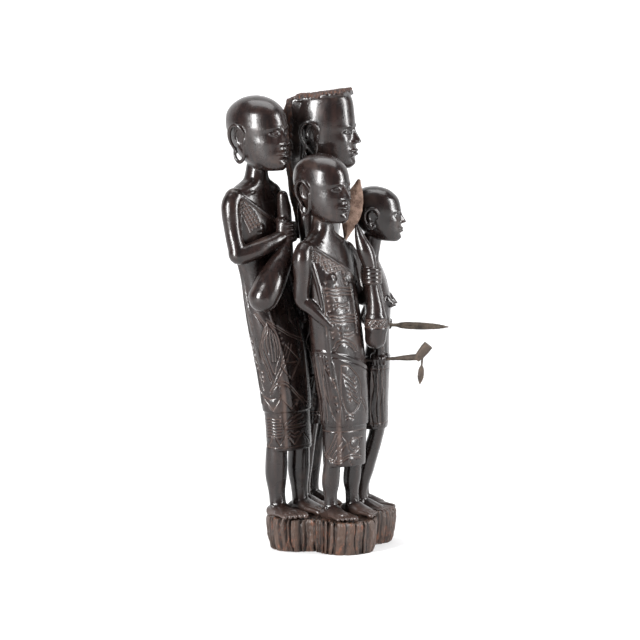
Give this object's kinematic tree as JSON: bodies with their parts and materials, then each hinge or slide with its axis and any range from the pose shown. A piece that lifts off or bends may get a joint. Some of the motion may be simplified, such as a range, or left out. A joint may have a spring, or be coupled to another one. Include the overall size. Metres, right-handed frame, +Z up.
{
  "type": "ebony sculpture",
  "caption": "Carved ebony group of standing figures on one rough lobed base, with loose wooden blades and an axe held in drilled fists.",
  "frame": {"origin": "middle of the flat underside of the base", "axes": "+X is the way the figures look, +Y is to their left, +Z is up"},
  "size_m": [0.2208, 0.1392, 0.4428],
  "materials": {
    "ebony": "polished, satin on the base",
    "raw_wood": "matte"
  },
  "bodies": {
    "root": {"carved_group": "ebony", "leaf_blade": "raw_wood", "knife": "raw_wood", "axe_handle": "raw_wood", "axe_blade": "raw_wood"}
  },
  "joints": []
}
